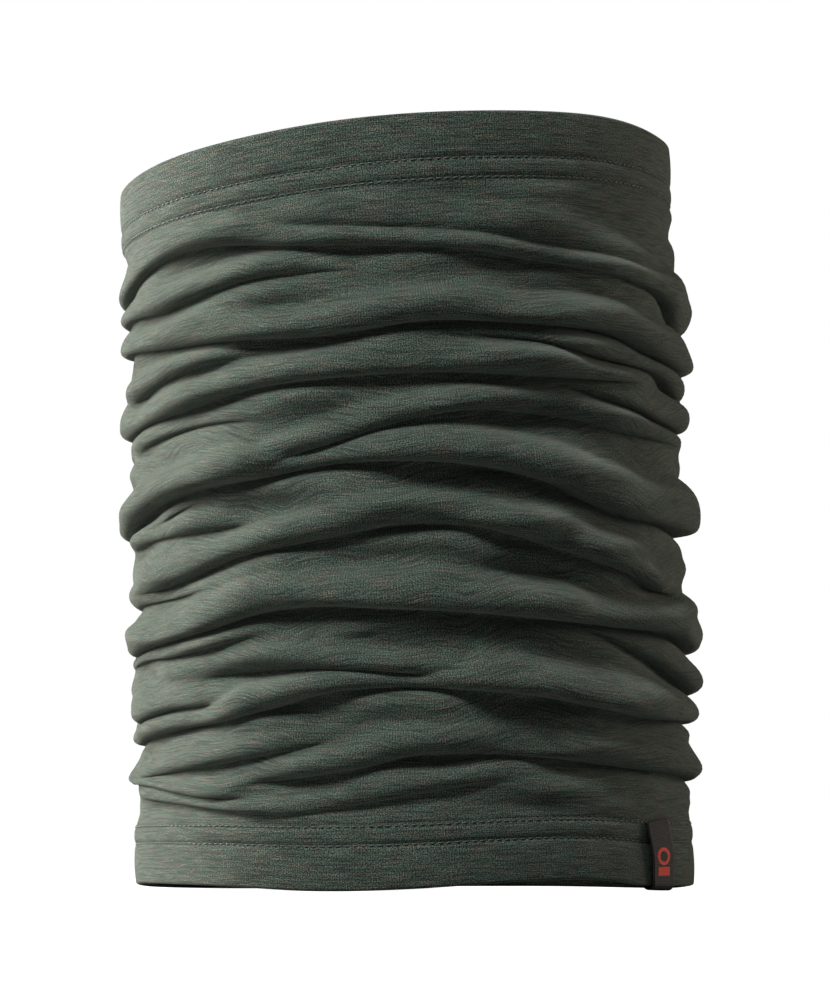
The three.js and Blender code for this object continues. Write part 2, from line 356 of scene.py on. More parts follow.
def wrinkle(angle, height):
    """Faint wrinkles, mostly lying round the tube: a sum of seeded cosine waves, each with a whole number of
    turns round the tube and a wavelength up it."""
    draw = np.random.default_rng(WRINKLE_SEED)
    total = np.zeros(np.broadcast(angle, height).shape)
    for _ in range(WRINKLE_WAVES):
        turns = draw.integers(0, 12)
        length = draw.uniform(9, 45)
        phase = draw.uniform(0, 2 * np.pi)
        slant = draw.choice([-1, 1]) * turns
        total += WRINKLE_SIZE * np.cos(np.radians(slant * angle) + 2 * np.pi * height / length + phase)
    return total


def hem_ripple(angle, height):
    """How far the hems stray from a true circle: a few low waves round the tube, fuller at the top."""
    a = np.radians(angle)
    top = 0.55 * np.cos(2 * a + 0.6) + 0.4 * np.cos(3 * a - 1.1) + 0.22 * np.cos(7 * a + 0.4)
    base = 0.35 * np.cos(2 * a - 0.4) + 0.35 * np.cos(5 * a + 1.7) + 0.2 * np.cos(9 * a)
    share = np.clip(height / HEIGHT, 0, 1)
    return top * share + base * (1 - share)


def seam_dip(angle):
    """The seam at the centre back: a narrow groove e^(-(distance / width)^2) where the cloth's edges meet."""
    away = np.radians(from_seam(angle)) * RADIUS
    depth = width = 0.7
    return -depth * np.exp(-((away / width) ** 2))


def seam_calm(angle):
    """The seam stiffens the cloth, so folds are lower beside it: 1 far from the seam, 0.45 on it."""
    return 1 - 0.55 * np.exp(-((from_seam(angle) / 5) ** 2))


def label_room(angle):
    """How much of the creases' depth is left where the care label turns inside the back: 1 away from the
    seam, 0.2 beside it, and half way between at about 28 degrees."""
    return 1 - 0.8 * np.exp(-((from_seam(angle) / 30) ** 6))


def place(angle, radius, height):
    """Points in the frame, in metres, for angles in degrees and radii and heights in millimetres.

    A point of the upright tube moves sideways by the lean, rises by the tilt on the +X side and sinks on the
    other, and rises by the waves of the nearer edge."""
    turn = np.radians(angle)
    side = np.sin(turn)
    near_base = np.clip(1 - height / EDGE_WAVE_FADE, 0, 1)
    near_top = np.clip(1 - (HEIGHT - height) / EDGE_WAVE_FADE, 0, 1)
    edge = curve_through(EDGE_WAVES, from_front(angle)) * near_base
    edge = edge + curve_through(TOP_WAVES, from_front(angle)) * near_top
    x = radius * side + FOOT + LEAN * height
    y = -radius * np.cos(turn) + 0 * height
    z = height * (1 + TILT * side * radius / RADIUS) + edge
    return side_by_side(x, y, z) * MM


def row_groove(depth, angle):
    """How far the needle rows pull a hem's face in, at depths from its edge: for each row a groove
    e^(-(distance / half width)^2), deeper and shallower by half along each stitch."""
    half_width = 0.75
    along = np.radians(angle) * RADIUS / STITCH_PITCH
    pucker = 1 + 0.5 * np.cos(2 * np.pi * along)
    total = np.zeros(np.broadcast(depth, angle).shape)
    for row in NEEDLE_ROWS:
        total -= ROW_GROOVE * np.exp(-(((depth - row) / half_width) ** 2)) * pucker
    return total


def hem_face(angle, depth, height):
    """Radius of a hem's outer face, at depths from its folded edge: padded by half a sine wave between the
    edge and the first row, and a lower one between the rows."""
    edge_padding, row_padding = 0.35, 0.22
    padding = edge_padding * np.sin(np.pi * np.clip(depth / NEEDLE_ROWS[0], 0, 1)) ** 0.8
    between = (depth - NEEDLE_ROWS[0]) / (NEEDLE_ROWS[1] - NEEDLE_ROWS[0])
    padding = padding + row_padding * np.sin(np.pi * np.clip(between, 0, 1))
    return RADIUS + padding + row_groove(depth, angle) + hem_ripple(angle, height) + seam_dip(angle)


# ---------------- mesh making


def new_piece(name, points, faces, uv=None, smooth=True):
    """A mesh object from an array of points and lists of faces, with an optional UV pair for each point."""
    mesh = bpy.data.meshes.new(name)
    mesh.from_pydata(points.reshape(-1, 3), [], faces)
    if uv is not None:
        corner = np.empty(len(mesh.loops), np.int32)
        mesh.loops.foreach_get("vertex_index", corner)
        layer = mesh.uv_layers.new(name="cloth")
        layer.data.foreach_set("uv", uv.reshape(-1, 2)[corner].astype(np.float32).ravel())
    mesh.polygons.foreach_set("use_smooth", np.full(len(mesh.polygons), smooth))
    mesh.update()
    piece = bpy.data.objects.new(name, mesh)
    bpy.context.scene.collection.objects.link(piece)
    return piece


def grid_faces(rows, columns, first=0, wrap_columns=False, wrap_rows=False, flip=False):
    """Quads of a grid whose points are numbered row by row."""
    r = np.arange(rows if wrap_rows else rows - 1)[:, None]
    c = np.arange(columns if wrap_columns else columns - 1)[None, :]
    r1, c1 = (r + 1) % rows, (c + 1) % columns
    corners = [r * columns + c, r * columns + c1, r1 * columns + c1, r1 * columns + c]
    quads = np.stack(corners, -1).reshape(-1, 4)
    if flip:
        quads = quads[:, ::-1]
    return (quads + first).tolist()


def joined(parts):
    """One array of points and one list of faces, from (points, faces) of several parts."""
    points, faces, first = [], [], 0
    for part_points, part_faces in parts:
        faces += [[v + first for v in face] for face in part_faces]
        points.append(part_points)
        first += len(part_points)
    return np.concatenate(points), faces


def repeated(faces, size, count):
    """The faces of a shape with that many points, for so many copies of it that follow one another."""
    return [[v + k * size for v in face] for k in range(count) for face in faces]


def unit(vectors):
    """Vectors along the last axis, each made one unit long."""
    return vectors / np.maximum(np.linalg.norm(vectors, axis=-1, keepdims=True), 1e-12)


def normals_of(grid):
    """Outward unit normals of a grid of points [row, column, 3] that closes round in its columns."""
    around = np.roll(grid, -1, 1) - np.roll(grid, 1, 1)
    return unit(np.cross(around, np.gradient(grid, axis=0)))


def finish_piece(piece, material, node, body=None):
    """Gives a piece its material and the body that it rides on, and hides the frame's part for the node that
    it stands for.
    """
    piece.data.materials.append(material)
    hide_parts(node)
    if body:
        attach(piece, body)
    return piece


# ---------------- the tube panel


def blur_round(values, width):
    """Smooths an array round its last axis, which closes on itself, by a Gaussian of that many columns."""
    columns = values.shape[-1]
    damp = np.exp(-2 * (np.pi * np.fft.rfftfreq(columns) * width) ** 2)
    return np.fft.irfft(np.fft.rfft(values, axis=-1) * damp, columns, axis=-1)


def panel_face(angle, height):
    """Radius and height of the panel's outer face at angles and upright heights between the two hems: the
    hems' radius in the groove of their stitches, with folds and wrinkles that the hems and the seam calm. The
    cloth is drawn in a little down the left side, from -30 to -150 degrees."""
    hem_hold = 5.0
    left_draw = 1.1
    above_base = smooth_step((height - NEEDLE_ROWS[1]) / hem_hold)
    below_top = smooth_step((HEIGHT - NEEDLE_ROWS[1] - height) / hem_hold)
    free = above_base * below_top
    calm = free * seam_calm(angle)
    out, up = fold_displacement(angle, height)
    out = np.where(out < 0, label_room(angle) * out, out)
    left = smooth_step((-30 - angle) / 40) * smooth_step((angle + 150) / 40)
    radius = RADIUS - ROW_GROOVE - left_draw * free * left + hem_ripple(angle, height) + seam_dip(angle)
    radius = radius + calm * (out + wrinkle(angle, height))
    return radius, height + calm * up


def tube_panel_grid():
    """Angles, radii, heights and shares of the cloth's length for the grid of the panel's outer face.

    Each column's rows lie at even steps of the cloth's length, closer where it bends, and the steps are
    blurred sideways so that rows run smoothly round the tube."""
    bend_weight = 1.2
    blur_columns = 1.5
    angle = (np.arange(PANEL_COLUMNS) * 360 / PANEL_COLUMNS - 180)[None, :]
    fine = np.linspace(NEEDLE_ROWS[1], HEIGHT - NEEDLE_ROWS[1], PANEL_FINE_ROWS)[:, None]
    radius, height = panel_face(angle, fine)
    outwards = np.diff(radius, axis=0)
    upwards = np.diff(height, axis=0)
    step = np.hypot(outwards, upwards)
    heading = np.unwrap(np.arctan2(outwards, upwards), axis=0)
    bend = np.abs(np.gradient(heading, axis=0))
    start = np.zeros((1, PANEL_COLUMNS))
    length = np.concatenate([start, np.cumsum(step + bend_weight * bend, 0)])
    length = blur_round(length / length[-1], blur_columns)
    # The columns are laid end to end, 2 apart, so that one interpolation serves them all.
    column = np.arange(PANEL_COLUMNS)[None, :] * 2.0
    wanted = np.linspace(0, 1, PANEL_ROWS)[:, None]
    known = (length + column).T.ravel()
    sought = (wanted + column).T.ravel()

    def at_rows(values):
        """Values given at the fine rows, taken at the wanted ones."""
        return np.interp(sought, known, values.T.ravel()).reshape(PANEL_COLUMNS, PANEL_ROWS).T

    arc = np.concatenate([start, np.cumsum(step, 0)])
    return angle, at_rows(radius), at_rows(height), at_rows(arc / arc[-1])


def make_tube_panel(material):
    """A closed wall: the outer face in full, an inner face of half as many columns one cloth thickness inside
    it, and a rim at each end where five-sided faces join the two."""
    angle, radius, height, share = tube_panel_grid()
    outer = place(angle, radius, height)
    inner = (outer - CLOTH * MM * normals_of(outer))[:, ::2]
    columns, half = PANEL_COLUMNS, PANEL_COLUMNS // 2
    first = PANEL_ROWS * columns
    faces = grid_faces(PANEL_ROWS, columns, wrap_columns=True)
    faces += grid_faces(PANEL_ROWS, half, first, wrap_columns=True, flip=True)
    k = np.arange(half)
    for row, flip in ((0, True), (PANEL_ROWS - 1, False)):
        outside = row * columns
        inside = first + row * half
        rim = np.stack([outside + 2 * k, outside + 2 * k + 1, outside + (2 * k + 2) % columns,
                        inside + (k + 1) % half, inside + k], -1)
        faces += (rim[:, ::-1] if flip else rim).tolist()
    uv_outer = side_by_side((angle + 180) / 360 * FLAT_ROUND * MM, share * FLAT_LENGTH * MM)
    points = np.concatenate([outer.reshape(-1, 3), inner.reshape(-1, 3)])
    uv = np.concatenate([uv_outer.reshape(-1, 2), uv_outer[:, ::2].reshape(-1, 2)])
    piece = new_piece("tube_panel_cloth", points, faces, uv)
    return finish_piece(piece, material, "tube_panel"), outer


# ---------------- hems


def hem_profile():
    """Depths and insets of a hem's closed outline: down the outside, round the fold, up the turned-in layer
    and back across its raw edge.

    An inset is counted inwards from the outer face. The fold is half a circle as wide as the hem is thick."""
    turn = HEM_THICKNESS / 2
    down = np.linspace(NEEDLE_ROWS[1] + 0.5, turn, 40)
    bend = np.linspace(0, np.pi, 10)[1:-1]
    inner = np.linspace(turn, HEM_DEPTH, 24)
    raw_edge_depth = [HEM_DEPTH + 0.2, NEEDLE_ROWS[1] + 1.0]
    raw_edge_inset = [HEM_THICKNESS - 0.35, 0.75]
    depth = np.concatenate([down, turn - turn * np.sin(bend), inner, raw_edge_depth])
    inset = np.concatenate([0 * down, turn - turn * np.cos(bend), 0 * inner + HEM_THICKNESS, raw_edge_inset])
    return depth[:, None], inset[:, None]


def make_hem(name, material, node, body, at_top):
    """A hem band: its outline carried round the tube, grooved and padded outside and plain inside. The top
    one is the bottom one turned over."""
    angle = (np.arange(HEM_COLUMNS) * 360 / HEM_COLUMNS - 180)[None, :]
    depth, inset = hem_profile()
    height = HEIGHT - depth if at_top else depth + 0 * angle
    face = hem_face(angle, depth, height)
    shallow = np.clip(inset / (2 * CLOTH), 0, 1)
    plain = RADIUS + hem_ripple(angle, height)
    radius = face * (1 - shallow) + plain * shallow - inset
    points = place(angle, radius, height)
    faces = grid_faces(len(depth), HEM_COLUMNS, wrap_columns=True, wrap_rows=True, flip=not at_top)
    depth_steps = np.diff(depth, axis=0, prepend=depth[:1])
    inset_steps = np.diff(inset, axis=0, prepend=inset[:1])
    length = np.cumsum(np.hypot(depth_steps, inset_steps))[:, None]
    past_panel = 0.7  # metres on the cloth, so that a hem doesn't repeat the panel's streaks
    uv = side_by_side((angle + 180) / 360 * FLAT_ROUND * MM, length * MM + past_panel)
    piece = new_piece(name, points, faces, uv)
    return finish_piece(piece, material, node, body)


# ---------------- stitching


def stitch_shape():
    """One stitch as points (along, sideways, out) and faces: four rings of six points and two tips."""
    along = np.array([[-0.8], [-0.35], [0.35], [0.8]])
    fat = np.array([[0.8], [1.0], [1.0], [0.8]])
    turn = np.arange(6) * np.pi / 3
    rings = side_by_side(along, fat * np.cos(turn), fat * np.sin(turn)).reshape(-1, 3)
    points = np.concatenate([rings, [[-1, 0, 0], [1, 0, 0]]])
    faces = grid_faces(4, 6, wrap_columns=True)
    last_ring, near_tip, far_tip = 18, 24, 25
    for k in range(6):
        faces.append([(k + 1) % 6, k, near_tip])
        faces.append([last_ring + k, last_ring + (k + 1) % 6, far_tip])
    return points, faces


def make_stitch_row(name, material, node, body, row, at_top):
    """A row of stitches laid along a hem's needle row, each in line with the cloth under it. A stitch stands
    a little above the groove, and its ends dip by the fourth power of the way along it."""
    stand, end_dip = 0.22, 0.4
    count = int(2 * np.pi * RADIUS / STITCH_PITCH)
    centre = (np.arange(count) + 0.5) * 360 / count - 180
    shape, shape_faces = stitch_shape()
    along, sideways, out = shape.T[:, None]
    angle = centre[:, None] + along * np.degrees(STITCH_LENGTH / 2 / RADIUS)
    depth = row + sideways * THREAD_RADIUS
    height = HEIGHT - depth if at_top else depth
    out = out * THREAD_RADIUS - end_dip * along**4 + stand
    radius = RADIUS - ROW_GROOVE + hem_ripple(angle, height) + seam_dip(angle) + out
    piece = new_piece(name, place(angle, radius, height), repeated(shape_faces, len(shape), count))
    return finish_piece(piece, material, node, body)


def tube_along(path, thickness, sides=5, closed=False):
    """Points and quads of a thread along a path of points, in metres: rings square to the path's direction,
    turned so that their first point lies away from the tube's axis."""
    ahead = unit(np.roll(path, -1, 0) - np.roll(path, 1, 0) if closed else np.gradient(path, axis=0))
    side = unit(np.cross(ahead, path * [1, 1, 0]))
    outward = np.cross(side, ahead)
    turn = (np.arange(sides) * 2 * np.pi / sides)[None, :, None]
    points = path[:, None] + thickness * (np.cos(turn) * outward[:, None] + np.sin(turn) * side[:, None])
    faces = grid_faces(len(path), sides, wrap_columns=True, wrap_rows=closed)
    if not closed:
        faces.append(list(range(sides))[::-1])
        faces.append([(len(path) - 1) * sides + k for k in range(sides)])
    return points.reshape(-1, 3), faces


def make_looper_thread(name, material, node, body, at_top):
    """The looper thread inside a hem: two threads, half a stitch apart, that weave between the needle rows as
    sine waves, leaning back as they cross. The second lies on the first."""
    stand = 0.22
    periods = int(2 * np.pi * RADIUS / STITCH_PITCH)
    t = np.arange(periods * 8) / 8
    angle = t / periods * 360 - 180
    middle = sum(NEEDLE_ROWS) / 2
    half = (NEEDLE_ROWS[1] - NEEDLE_ROWS[0]) / 2 + 0.2
    threads = []
    for phase, lift in ((0.0, 0.0), (0.5, 0.18)):
        depth = middle + half * np.sin(2 * np.pi * (t + phase)) * (1 + 0.12 * np.cos(4 * np.pi * t))
        height = HEIGHT - depth if at_top else depth
        lean_back = 0.35 * np.sin(4 * np.pi * (t + phase))
        radius = RADIUS - HEM_THICKNESS - stand - lift + hem_ripple(angle, height)
        path = place(angle + np.degrees(lean_back / RADIUS), radius, height)
        threads.append(tube_along(path, LOOPER_RADIUS * MM, closed=True))
    piece = new_piece(name, *joined(threads))
    return finish_piece(piece, material, node, body)


# ---------------- seam and labels


def thick_sheet(grid, thickness, normals):
    """A closed sheet of cloth from a grid of points: the grid, a second face that far along the normals, and
    a rim between them."""
    rows, columns = grid.shape[:2]
    count = rows * columns
    faces = grid_faces(rows, columns) + grid_faces(rows, columns, count, flip=True)
    index = np.arange(count).reshape(rows, columns)
    loop = np.concatenate([index[0, :-1], index[:-1, -1], index[-1, :0:-1], index[:0:-1, 0]])
    after = np.roll(loop, -1)
    faces += np.stack([after, loop, loop + count, after + count], -1).tolist()
    return np.concatenate([grid.reshape(-1, 3), (grid + thickness * normals).reshape(-1, 3)]), faces


def sheet_normals(grid):
    """Unit normals of an open grid of points."""
    return unit(np.cross(np.gradient(grid, axis=1), np.gradient(grid, axis=0)))


def make_back_seam(material, thread_look, panel_points):
    """The seam allowance inside the centre back, lying on the panel's inner face, with the overlock thread
    that binds it: two loopers that zigzag across its five columns of points, half a stitch apart."""
    columns = np.arange(-2, 3)
    inward = -normals_of(panel_points)[:, columns]
    face = panel_points[:, columns] + inward * (CLOTH + 0.12) * MM
    points, faces = thick_sheet(face, SEAM_THICKNESS * MM, inward)
    share = np.linspace(0, 1, PANEL_ROWS)[:, None]
    across = np.linspace(-1, 1, 5)[None, :]
    uv = side_by_side(across * 3 * MM, share * FLAT_LENGTH * MM).reshape(-1, 2)
    seam = new_piece("back_seam_cloth", points, faces, np.concatenate([uv, uv]))
    finish_piece(seam, material, "back_seam")

    top_face = face + inward * (SEAM_THICKNESS + 0.2) * MM
    stitches = int(FLAT_LENGTH / OVERLOCK_PITCH)
    t = np.arange(stitches * 8 + 1) / 8
    row = t / stitches * (PANEL_ROWS - 1)
    r = np.minimum(row.astype(int), PANEL_ROWS - 2)
    v = (row - r)[:, None]
    threads = []
    for phase in (0.0, 0.5):
        column = 2 + 1.5 * np.sin(2 * np.pi * (t + phase))
        c = np.minimum(column.astype(int), 3)
        u = (column - c)[:, None]
        below = top_face[r, c] * (1 - u) + top_face[r, c + 1] * u
        above = top_face[r + 1, c] * (1 - u) + top_face[r + 1, c + 1] * u
        threads.append(tube_along(below * (1 - v) + above * v, OVERLOCK_RADIUS * MM))
    bound = new_piece("back_seam_stitches", *joined(threads))
    finish_piece(bound, thread_look, "back_seam_thread")
    return seam, bound


def label_profile():
    """Radius and height along the hem label: down its outer leg, which bulges as a squared sine, half a
    circle under the hem's fold, and up the inner leg."""
    inner_gap, bulge_size = 0.55, 0.75
    outer_radius = RADIUS + LABEL_STAND
    inner_radius = RADIUS - HEM_THICKNESS - inner_gap - LABEL_THICKNESS
    half = (outer_radius - inner_radius) / 2
    bottom = half - LABEL_STAND
    bend = np.linspace(0, np.pi, 15)[1:-1]
    down = np.linspace(LABEL_DROP, bottom, 34)
    rise = np.linspace(bottom, LABEL_DROP, 20)
    bulge = bulge_size * np.sin(np.pi * np.clip(down / LABEL_DROP, 0, 1)) ** 2
    under = outer_radius - half + half * np.cos(bend)
    radius = np.concatenate([outer_radius + bulge, under, inner_radius + 0 * rise])
    height = np.concatenate([down, bottom - half * np.sin(bend), rise])
    return radius, height


def make_hem_label(material, thread_look):
    """The woven label folded over the bottom hem, slightly askew, its sides curling out by the fourth power
    of the way across, with a line of stitches along its top."""
    radius, height = label_profile()
    length = np.concatenate([[0], np.cumsum(np.hypot(np.diff(radius), np.diff(height)))])[:, None]
    radius = radius[:, None]
    height = height[:, None]
    side = np.linspace(-1, 1, 19)[None, :] * LABEL_WIDTH / 2
    askew = (LABEL_DROP / 2 - height) * LABEL_SLANT
    angle = LABEL_ANGLE + np.degrees((side + askew) / RADIUS)
    tilt = side * LABEL_SLANT * np.clip(height / LABEL_DROP, 0, 1)
    curl = 0.18 * (np.abs(side) / (LABEL_WIDTH / 2)) ** 4
    grid = place(angle, radius + hem_ripple(angle, height) + curl, height + tilt)
    points, faces = thick_sheet(grid, LABEL_THICKNESS * MM, -sheet_normals(grid))
    uv = side_by_side(side * MM, -length * MM).reshape(-1, 2)
    label = new_piece("hem_label_cloth", points, faces, np.concatenate([uv, uv]))
    finish_piece(label, material, "hem_label", "lower")

    stitch_half, stand, end_dip, margin = 0.95, 0.25, 0.2, 1
    shape, shape_faces = stitch_shape()
    along, sideways, out = shape.T[:, None]
    sewn = LABEL_WIDTH - margin
    centre = (np.arange(LABEL_STITCHES) + 0.5) / LABEL_STITCHES * sewn - sewn / 2
    across = centre[:, None] + along * stitch_half
    level = NEEDLE_ROWS[1] + across * LABEL_SLANT + sideways * THREAD_RADIUS
    angle = LABEL_ANGLE + np.degrees((across - LABEL_DROP / 2 * LABEL_SLANT) / RADIUS)
    radius = RADIUS + LABEL_STAND + stand + out * THREAD_RADIUS - end_dip * along**4
    points = place(angle, radius + hem_ripple(angle, level), level)
    stitches = new_piece("hem_label_stitches", points, repeated(shape_faces, len(shape), LABEL_STITCHES))
    finish_piece(stitches, thread_look, "hem_label_stitch", "lower")
    return label


def make_care_label(material):
    """The blank satin label inside the back, held by the seam along one upright edge. It lies across the box
    of its node, just inside it, and bends by a power of the way along it and a faint sine wave."""
    thickness = 0.35
    low, high = corners_mm("care_label")
    size = high - low
    along = np.linspace(0, 1, 41)[None, :]
    up = np.linspace(0, 1, 25)[:, None]
    curl = 0.4 * along**2.2 + 0.2 * np.sin(2 * np.pi * up) * along
    x = low[0] + 0.25 + (size[0] - 0.4) * along
    y = high[1] - 0.45 - (size[1] - 0.6) * along - curl
    z = low[2] + 0.1 + (size[2] - 0.2) * up
    grid = side_by_side(x, y, z) * MM
    points, faces = thick_sheet(grid, thickness * MM, -sheet_normals(grid))
    uv = side_by_side(CARE_LABEL_WIDTH * along * MM, CARE_LABEL_HEIGHT * up * MM).reshape(-1, 2)
    label = new_piece("care_label_cloth", points, faces, np.concatenate([uv, uv]))
    return finish_piece(label, material, "care_label", "care_label")


# ---------------- materials


def node_maker(tree):
    """A short way to add a node, set its inputs and link others into them. An input is named as it is in
    Blender, with _ for a space, or by its number after an i."""

    def add(kind, properties=None, **inputs):
        node = tree.nodes.new(kind)
        for key, value in (properties or {}).items():
            setattr(node, key, value)
        for key, value in inputs.items():
            numbered = key[0] == "i" and key[1:].isdigit()
            socket = node.inputs[int(key[1:]) if numbered else key.replace("_", " ")]
            if isinstance(value, bpy.types.NodeSocket):
                tree.links.new(value, socket)
            else:
                socket.default_value = value
        return node

    return add


def maths_maker(add):
    """A short way to add a maths node and get its output."""

    def maths(operation, *values):
        inputs = {f"i{k}": value for k, value in enumerate(values)}
        return add("ShaderNodeMath", {"operation": operation}, **inputs).outputs[0]

    return maths


def times(add, a, b):
    """The product of two colours."""
    product = {"data_type": "RGBA", "blend_type": "MULTIPLY"}
    return add("ShaderNodeMix", product, i0=1.0, i6=a, i7=b).outputs[2]


def grey(value):
    """A grey as a colour of three values."""
    return value, value, value


def jersey_group():
    """Heathered single jersey on UV in metres: short streaks of lighter, darker, greener and browner fibre
    along the courses, a fine grain, and the knit's columns of small V stitches as a height and as painted
    light and shade, lighter in each column's middle and darker towards the valleys between columns."""
    wale, course = 0.0007, 0.00055
    group = bpy.data.node_groups.new("heathered jersey", "ShaderNodeTree")
    face = group.interface
    face.new_socket("Cloth", in_out="INPUT", socket_type="NodeSocketVector")
    face.new_socket("Color", in_out="OUTPUT", socket_type="NodeSocketColor")
    face.new_socket("Roughness", in_out="OUTPUT", socket_type="NodeSocketFloat")
    face.new_socket("Height", in_out="OUTPUT", socket_type="NodeSocketFloat")
    add = node_maker(group)
    maths = maths_maker(add)
    start = add("NodeGroupInput")
    end = add("NodeGroupOutput")
    cloth = start.outputs["Cloth"]

    def streaks(along, across, detail, seed):
        """Noise from 0 to 1 whose spots are that long and that wide, in metres."""
        scale = (1 / along, 1 / across, 1)
        stretched = add("ShaderNodeMapping", i0=cloth, Scale=scale, Location=(seed, seed, 0))
        noise = add("ShaderNodeTexNoise", {"noise_dimensions": "2D"}, Vector=stretched.outputs[0], Scale=1.0,
                    Detail=detail, Roughness=0.6)
        return noise.outputs["Fac"]

    def ramp(value, *stops):
        """A colour for each value, between (value, colour) stops."""
        node = add("ShaderNodeValToRGB", Fac=value)
        elements = node.color_ramp.elements
        while len(elements) < len(stops):
            elements.new(0.5)
        for element, (position, colour) in zip(elements, stops):
            element.position = position
            element.color = (*colour, 1)
        return node.outputs["Color"]

    fibre = ramp(streaks(0.0075, 0.00045, 4.0, 0.0), (0.32, (0.035, 0.045, 0.037)),
                 (0.5, (0.055, 0.070, 0.058)), (0.68, (0.078, 0.097, 0.080)))
    dark = ramp(streaks(0.0150, 0.00065, 3.0, 7.0), (0.36, (0.52, 0.56, 0.56)), (0.48, grey(1.0)))
    hue = ramp(streaks(0.0080, 0.0012, 4.0, 9.0), (0.34, (0.84, 1.03, 0.98)), (0.5, grey(1.0)),
               (0.66, (1.30, 1.0, 0.94)))
    grain = ramp(streaks(0.00036, 0.00036, 0.0, 3.0), (0.34, grey(0.30)), (0.66, grey(1.70)))

    apart = add("ShaderNodeSeparateXYZ", Vector=cloth)
    in_wale = maths("FRACT", maths("MULTIPLY", apart.outputs[0], 1 / wale))
    leg = maths("ABSOLUTE", maths("SUBTRACT", in_wale, 0.5))
    column = maths("SINE", maths("MULTIPLY", leg, 2 * np.pi))
    slanted = maths("ADD", maths("MULTIPLY", apart.outputs[1], 1 / course), leg)
    stitch = maths("SINE", maths("MULTIPLY", slanted, 2 * np.pi))
    knit = maths("MULTIPLY_ADD", stitch, 0.35, column)
    fuzz = add("ShaderNodeTexNoise", {"noise_dimensions": "2D"}, Vector=cloth, Scale=2600.0, Detail=2.0)
    height = maths("MULTIPLY_ADD", fuzz.outputs["Fac"], 0.6, knit)
    rough = add("ShaderNodeMapRange", Value=fuzz.outputs["Fac"], To_Min=0.82, To_Max=0.98)
    # Painted light and shade: each knit column is lighter in its middle and darker towards its edges, where
    # the valleys between columns fall.
    shade = add("ShaderNodeMapRange", Value=leg, From_Max=0.5, To_Min=1.24, To_Max=0.76)

    grain_and_wale_shade = times(add, grain, shade.outputs[0])
    colour = times(add, times(add, fibre, hue), times(add, dark, grain_and_wale_shade))
    group.links.new(colour, end.inputs["Color"])
    group.links.new(rough.outputs[0], end.inputs["Roughness"])
    group.links.new(height, end.inputs["Height"])
    return group


def new_material(name):
    """An empty node material and its node adder."""
    material = bpy.data.materials.new(name)
    material.use_nodes = True
    material.node_tree.nodes.clear()
    return material, node_maker(material.node_tree)


def add_surface(add, **inputs):
    """The Principled shader, its inputs set or linked, joined to the material's output."""
    shader = add("ShaderNodeBsdfPrincipled", **inputs)
    add("ShaderNodeOutputMaterial", Surface=shader.outputs[0])


def cloth_axes(add):
    """A cloth's own two directions, in metres: across it and up it."""
    cloth = add("ShaderNodeUVMap", {"uv_map": "cloth"})
    apart = add("ShaderNodeSeparateXYZ", Vector=cloth.outputs[0])
    return apart.outputs[0], apart.outputs[1]


def jersey_material():
    """Fine merino jersey: heathered, matte, with a soft sheen of loose fibre."""
    material, add = new_material("heathered_jersey")
    cloth = add("ShaderNodeUVMap", {"uv_map": "cloth"})
    pattern = add("ShaderNodeGroup", {"node_tree": jersey_group()}, Cloth=cloth.outputs[0])
    bump = add("ShaderNodeBump", Height=pattern.outputs["Height"], Strength=0.45, Distance=0.00016)
    add_surface(add, Base_Color=pattern.outputs["Color"], Roughness=pattern.outputs["Roughness"],
                Normal=bump.outputs[0], Specular_IOR_Level=0.2, Sheen_Weight=0.16, Sheen_Roughness=0.45,
                Sheen_Tint=(0.86, 0.92, 0.84, 1))
    return material


def thread_material():
    """Twisted sewing thread: fine slanting plies and a slight shine."""
    material, add = new_material("sewing_thread")
    position = add("ShaderNodeTexCoord").outputs["Object"]
    slanting = {"bands_direction": "DIAGONAL"}
    wave = add("ShaderNodeTexWave", slanting, Vector=position, Scale=900.0, Distortion=0.5)
    # Painted light and shade: the thread is darker in the grooves between its plies and lighter on their
    # tops, following the same waves as its bump.
    shade = add("ShaderNodeMapRange", Value=wave.outputs["Fac"], To_Min=0.7, To_Max=1.15)
    colour = times(add, (0.074, 0.090, 0.078, 1), shade.outputs[0])
    bump = add("ShaderNodeBump", Height=wave.outputs["Fac"], Strength=0.4, Distance=0.0001)
    add_surface(add, Base_Color=colour, Normal=bump.outputs[0], Roughness=0.6)
    return material


def woven_label_material():
    """A black woven label: fine ribs across it, and on its face a plain red mark, a wide ring over a short
    bar. The ring is where a distance from its middle, 1 at its outer edge, lies within 0.2 of 0.8."""
    rib_pitch, warp_pitch = 0.0004, 0.0005
    material, add = new_material("woven_label")
    maths = maths_maker(add)
    sideways, upwards = cloth_axes(add)
    across = maths("DIVIDE", sideways, RING_HALF_WIDTH)
    down = maths("DIVIDE", maths("ADD", upwards, RING_DEPTH), RING_HALF_HEIGHT)
    far = maths("SQRT", maths("ADD", maths("MULTIPLY", across, across), maths("MULTIPLY", down, down)))
    ring = maths("LESS_THAN", maths("ABSOLUTE", maths("SUBTRACT", far, 0.8)), 0.2)
    in_width = maths("LESS_THAN", maths("ABSOLUTE", sideways), BAR_HALF_WIDTH)
    in_height = maths("LESS_THAN", maths("ABSOLUTE", maths("ADD", upwards, BAR_DEPTH)), BAR_HALF_HEIGHT)
    mark = maths("MAXIMUM", ring, maths("MULTIPLY", in_width, in_height))
    rib = maths("SINE", maths("MULTIPLY", upwards, 2 * np.pi / rib_pitch))
    warp = maths("SINE", maths("MULTIPLY", sideways, 2 * np.pi / warp_pitch))
    weave = maths("MULTIPLY_ADD", warp, 0.6, rib)
    colour = add("ShaderNodeMix", {"data_type": "RGBA"}, i0=mark, i6=(0.012, 0.011, 0.011, 1),
                 i7=(0.75, 0.06, 0.035, 1))
    bump = add("ShaderNodeBump", Height=weave, Strength=0.5, Distance=0.0001)
    add_surface(add, Base_Color=colour.outputs[2], Normal=bump.outputs[0], Roughness=0.65,
                Specular_IOR_Level=0.2)
    return material


